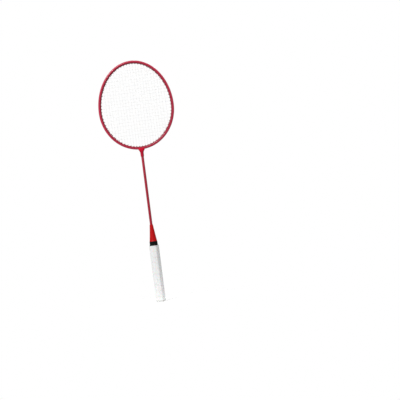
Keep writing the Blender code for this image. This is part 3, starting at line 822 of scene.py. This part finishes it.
def build_cone():
    """Tapered cone with a raised foot, a slightly hollow flank and a small bead at the top."""
    bottom, top = CONE_LO[2], CONE_HI[2]
    low, high = CONE_RADIUS_LOW, CONE_RADIUS_HIGH

    def flank(z):
        t = (z - bottom) / (top - bottom)
        return low + (high - low) * t - CONE_WAIST * math.sin(math.pi * t)

    outer = [(low - 0.18, bottom), (low, bottom + 0.25), (low, bottom + 1.4), (low - 0.22, bottom + 1.7)]
    outer += [(flank(z), z) for z in np.linspace(bottom + 3.0, top - 1.6, 22)]
    bead = high + 0.08
    outer += [(bead, top - 1.2), (bead, top - 0.45), (high - 0.1, top - 0.12), (high - 0.35, top)]
    inner = [(3.9, top), (3.9, 207.0), (5.3, 202.0), (9.1, bottom)]
    verts, faces = turned(outer + inner, CONE_SIDES)
    obj = new_mesh("cone", verts, faces, CONE_RED, 50.0)
    fix_normals(obj)
    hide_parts("cone_cap")


def foot_radii(angles):
    """Radius of the collar's octagonal foot at each angle."""
    foot, _ = octagon_ring(COLLAR_HI[0] - 0.02, FOOT_HALF_DEPTH, FOOT_CORNER, 720)
    around = np.arctan2(foot[:, 1], foot[:, 0]) % (2 * math.pi)
    order = np.argsort(around)
    return np.interp(angles, around[order], np.hypot(foot[:, 0], foot[:, 1])[order], period=2 * math.pi)


def build_collar():
    """Band between cone and grip: a turned ring that widens into a thin octagonal foot."""
    bottom, top = COLLAR_LO[2], COLLAR_HI[2]
    angles = 2 * math.pi * np.arange(COLLAR_SIDES) / COLLAR_SIDES
    # (height, radius of the turned ring or None, how far inside the foot's octagon or None)
    rows = [(bottom + 0.06, COLLAR_BORE, None), (bottom, 9.0, None)]
    foot = [(0.0, 0.16), (0.05, 0.04), (0.16, 0.0), (0.40, 0.0), (0.52, 0.05), (0.58, 0.16)]
    rows += [(bottom + rise, None, inset) for rise, inset in foot]
    ring = [(11.22, bottom + 0.74), (11.18, bottom + 1.7), (11.02, bottom + 2.0)]
    ring += [(10.80, top - 2.1), (10.92, top - 1.8), (10.88, top - 0.55)]
    ring += [(10.68, top - 0.12), (10.35, top), (COLLAR_BORE, top)]
    rows += [(z, r, None) for r, z in rounded(ring, 0.16, 3, closed=False)]
    verts = []
    for a, octagon in zip(angles, foot_radii(angles)):
        for z, radius, inset in rows:
            r = radius if inset is None else octagon - inset
            verts.append((r * math.cos(a), r * math.sin(a), z))
    faces = loft_faces(COLLAR_SIDES, len(rows), closed=True)
    obj = new_mesh("collar", verts, faces, COLLAR_BLACK, 45.0)
    fix_normals(obj)
    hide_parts("collar_ring")


# ---------------------------------------------------------------- grip and butt


def octagon_ring(half_width, half_depth, corner, count):
    """Points and outward normals evenly round an octagon with rounded corners, counted from +X."""
    fx, fy = half_width * 0.42, half_depth * 0.40  # half widths of the front and side facets
    w, d = half_width, half_depth
    corners = [(w, -fy), (w, fy), (fx, d), (-fx, d), (-w, fy), (-w, -fy), (-fx, -d), (fx, -d)]
    pts = []
    for k, c in enumerate(corners):
        c = np.array(c)
        a, b = np.array(corners[k - 1]) - c, np.array(corners[(k + 1) % 8]) - c
        start, end = c + a / np.linalg.norm(a) * corner, c + b / np.linalg.norm(b) * corner
        pts += corner_curve(start, c, end, np.linspace(0, 1, 13))
    pts = np.array(pts)
    loop = np.vstack([pts, pts[:1]])
    run = np.concatenate([[0], np.cumsum(np.linalg.norm(np.diff(loop, axis=0), axis=1))])
    at = np.linspace(0, run[-1], count, endpoint=False)
    ring = np.stack([np.interp(at, run, loop[:, 0]), np.interp(at, run, loop[:, 1])], 1)
    start = int(np.argmin(np.hypot(ring[:, 0] - w, ring[:, 1])))
    ring = np.roll(ring, -start, axis=0)
    tangent = np.roll(ring, -1, axis=0) - np.roll(ring, 1, axis=0)
    tangent /= np.linalg.norm(tangent, axis=1)[:, None]
    return ring, np.stack([tangent[:, 1], -tangent[:, 0]], 1)


# Across the band: (position from -1 at its lower to 1 at its upper edge, height above the octagon)
BAND_SECTION = [
    (-1.0, -1.55), (-1.0, -0.62), (-0.994, -0.32), (-0.98, -0.15), (-0.955, -0.06), (-0.9, -0.01),
    (-0.7, 0.03), (-0.35, 0.03), (0.0, 0.02), (0.35, 0.03), (0.7, 0.05), (0.9, 0.04),
    (0.965, -0.01), (0.986, -0.12), (0.996, -0.32), (1.0, -0.62), (1.0, -1.55),
]


def build_grip():
    """The cushion band as it is wound: one long ribbon with rounded, slightly lifted edges."""
    bottom, top = WRAP_LO[2], WRAP_HI[2]
    ring, normal = octagon_ring(WRAP_HI[0] - GRIP_SINK, WRAP_HI[1] - GRIP_SINK, GRIP_CORNER, GRIP_POINTS)
    band = WRAP_PITCH - WRAP_GAP
    turns = int((top - bottom) / WRAP_PITCH) + 2
    loops = []
    for turn in range(turns, -1, -1):
        for k in range(GRIP_POINTS):
            mid = bottom + WRAP_PITCH * (turn - k / GRIP_POINTS)
            low, high = max(mid - band / 2, bottom), min(mid + band / 2, top)
            if high - low < TRIM_LEAST:
                continue
            loop = []
            for u, h in BAND_SECTION:
                x, y = ring[k] + normal[k] * h
                loop.append((x, y, (low + high) / 2 + u * (high - low) / 2))
            loops.append(loop)
    verts = np.array(loops).reshape(-1, 3)
    faces = loft_faces(len(loops), len(BAND_SECTION))
    obj = new_mesh("grip_band", verts, faces, CUSHION, 60.0)
    fix_normals(obj)
    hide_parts("grip_wrap")


def build_cap():
    """Butt cap: rounded rim, shallow dished end with a raised ring, and its spigot inside the handle."""
    a = 2 * np.pi * np.arange(GRIP_POINTS) / GRIP_POINTS
    circle = np.stack([np.cos(a), np.sin(a)], 1)
    rings = []

    def add(points, z):
        rings.append(np.column_stack([points, np.full(GRIP_POINTS, z)]))

    def octagon(amount):
        sink = CAP_SINK + amount
        corner = max(0.6, GRIP_CORNER - amount * 0.2)
        return octagon_ring(CAP_HI[0] - sink, CAP_HI[1] - sink, corner, GRIP_POINTS)[0]

    spigot = [(SPIGOT_TOP, SPIGOT_RADIUS - 0.4), (SPIGOT_TOP - 0.4, SPIGOT_RADIUS), (CAP_TOP, SPIGOT_RADIUS)]
    for z, r in spigot:
        add(circle * r, z)
    # (height, how far inside the cap's outline): the shoulder, the rounded rim and the step into the dish
    shoulder = [(CAP_TOP, 0.6), (CAP_TOP - 0.1, 0.12), (CAP_TOP - 0.5, 0.0)]
    rim_round = [(1.4, 0.0), (0.75, 0.08), (0.3, 0.35), (0.08, 0.75), (0.0, 1.25)]
    step = [(0.0, 2.3), (0.12, 2.6), (0.5, 2.9), (0.55, 3.3)]
    for z, amount in shoulder + rim_round + step:
        add(octagon(amount), z)
    # (radius, height) of the dish in the end face, with a raised ring in its middle
    ridge = [(5.4, 0.5), (5.1, 0.15), (4.8, 0.08), (4.2, 0.08), (3.9, 0.15), (3.6, 0.5)]
    for r, z in [(6.0, 0.6)] + ridge + [(2.0, 0.6)]:
        add(circle * r, z)
    faces = loft_faces(len(rings), GRIP_POINTS)
    obj = new_mesh("butt_end", np.vstack(rings), faces, CAP_WHITE, 40.0)
    fix_normals(obj)
    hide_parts("butt_cap")


# ---------------------------------------------------------------- hidden pieces


def finish_hidden():
    """The pieces that nothing shows keep their CAD mesh and get a material."""
    for name, mat in (("handle_core", TIMBER), ("frame_joint_insert", STEEL), ("handle_pin", STEEL)):
        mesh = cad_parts[name].data
        if mesh.materials:
            for k in range(len(mesh.materials)):
                mesh.materials[k] = mat
        else:
            mesh.materials.append(mat)


# ---------------------------------------------------------------- floor, light and camera


FLOOR_SIDES, FLOOR_RADII = 96, (0.03, 0.06, 0.12, 0.24, 0.5)
FLOOR_FADE = (0.03, 0.25)  # metres from the butt between which the floor gives way to the surround
FLOOR_GLOW = 0.18  # lightens the shadow at the butt


def build_floor():
    """A pale round floor that fades into the surround, so there is no horizon line."""
    verts = [(0, 0, 0)]
    for r in FLOOR_RADII:
        for k in range(FLOOR_SIDES):
            a = 2 * math.pi * k / FLOOR_SIDES
            verts.append((r * math.cos(a), r * math.sin(a), 0))
    faces = [(0, 1 + k, 1 + (k + 1) % FLOOR_SIDES) for k in range(FLOOR_SIDES)]
    for i in range(len(FLOOR_RADII) - 1):
        a, b = 1 + i * FLOOR_SIDES, 1 + (i + 1) * FLOOR_SIDES
        for k in range(FLOOR_SIDES):
            j = (k + 1) % FLOOR_SIDES
            faces.append((a + k, b + k, b + j, a + j))
    mesh = bpy.data.meshes.new("floor")
    mesh.from_pydata(verts, [], faces)
    floor = bpy.data.objects.new("floor", mesh)
    floor.location.z = BOX[0].z - 0.0002
    bpy.context.scene.collection.objects.link(floor)
    n = Nodes("floor_paper")
    length = n.add("ShaderNodeVectorMath", operation="LENGTH")
    n.link(n.coord, length.inputs[0])
    n.set(Base_Color=(0.80, 0.80, 0.80, 1.0), Roughness=0.9, Specular_IOR_Level=0.1)
    n.set(Emission_Color=(1.0, 1.0, 1.0, 1.0), Emission_Strength=FLOOR_GLOW)
    n.link(n.remap(length.outputs["Value"], 1.0, 0.0, *FLOOR_FADE), n.bsdf.inputs["Alpha"])
    mesh.materials.append(n.mat)


WORLD_LEFT, WORLD_RIGHT, WORLD_BACK = 0.395, 0.38, 0.34  # strength of the surround's light on each side
TURN_X = (-0.55, 0.75)  # directions between which it turns from the left's strength to the right's
TURN_Y = (-0.1, 0.35)  # and from the front's to the back's


def build_world():
    """White seen from anywhere; as light, a little stronger in front and on the left than behind."""
    world = bpy.data.worlds.new("studio")
    bpy.context.scene.world = world
    world.use_nodes = True
    tree = world.node_tree
    tree.nodes.clear()

    def add(kind, **settings):
        node = tree.nodes.new(kind)
        for key, value in settings.items():
            setattr(node, key, value)
        return node

    def ramp(value, start, end, low, high):
        node = add("ShaderNodeMapRange", interpolation_type="SMOOTHSTEP")
        for k, v in enumerate((start, end, low, high)):
            node.inputs[k + 1].default_value = v
        tree.links.new(value, node.inputs[0])
        return node.outputs[0]

    def mix(fac, a, b):
        node = add("ShaderNodeMix", data_type="FLOAT")
        for socket, v in zip((node.inputs[0], node.inputs[2], node.inputs[3]), (fac, a, b)):
            if isinstance(v, float):
                socket.default_value = v
            else:
                tree.links.new(v, socket)
        return node.outputs[0]

    split = add("ShaderNodeSeparateXYZ")
    tree.links.new(add("ShaderNodeTexCoord").outputs["Generated"], split.inputs[0])
    front = ramp(split.outputs["X"], *TURN_X, WORLD_LEFT, WORLD_RIGHT)
    level = mix(ramp(split.outputs["Y"], *TURN_Y, 0.0, 1.0), front, WORLD_BACK)
    seen = mix(add("ShaderNodeLightPath").outputs["Is Camera Ray"], level, 1.0)
    background = add("ShaderNodeBackground")
    background.inputs[0].default_value = (1.0, 1.0, 1.0, 1.0)
    tree.links.new(seen, background.inputs[1])
    tree.links.new(background.outputs[0], add("ShaderNodeOutputWorld").inputs[0])


LIGHT_TARGET = (0.0, 0.0, 0.35)


def soft_box(name, location, width, height, power):
    """A rectangular area light that faces the racket's middle."""
    light = bpy.data.lights.new(name, "AREA")
    light.shape = "RECTANGLE"
    light.size, light.size_y, light.energy = width, height, power
    obj = bpy.data.objects.new(name, light)
    obj.location = location
    obj.rotation_mode = "QUATERNION"
    obj.rotation_quaternion = (Vector(LIGHT_TARGET) - Vector(location)).to_track_quat("-Z", "Y")
    bpy.context.scene.collection.objects.link(obj)


ROLL = math.radians(7.34)
FRAME_WIDTH = 1.096  # metres across the picture at the racket
AIM = Vector((0.1411, 0.0, 0.2623))  # the picture's centre
LENS, SENSOR = 135.0, 36.0  # millimetres


def build_camera():
    """Level with the racket, square to its face, rolled so that the head leans to the left."""
    data = bpy.data.cameras.new("camera")
    data.lens, data.sensor_width = LENS, SENSOR
    camera = bpy.data.objects.new("camera", data)
    distance = FRAME_WIDTH / 2 / (data.sensor_width / 2 / data.lens)
    right = Vector((math.cos(ROLL), 0.0, -math.sin(ROLL)))
    up = Vector((math.sin(ROLL), 0.0, math.cos(ROLL)))
    back = Vector((0.0, -1.0, 0.0))
    turn = Matrix((right, up, back)).transposed().to_4x4()
    camera.matrix_world = Matrix.Translation(AIM + back * distance) @ turn
    data.clip_start, data.clip_end = 0.05, 100.0
    bpy.context.scene.collection.objects.link(camera)
    bpy.context.scene.camera = camera


build_hoop()
build_grommets()
build_mains()
build_crosses()
build_tee()
build_shaft()
build_cone()
build_collar()
build_grip()
build_cap()
finish_hidden()
build_floor()
build_world()
soft_box("key", (-1.0, -1.9, 2.1), 1.4, 1.0, 73.0)
soft_box("back", (0.9, 2.0, 2.2), 1.8, 1.4, 55.0)
build_camera()
bpy.context.scene.view_settings.view_transform = "Standard"

bpy.context.view_layer.update()
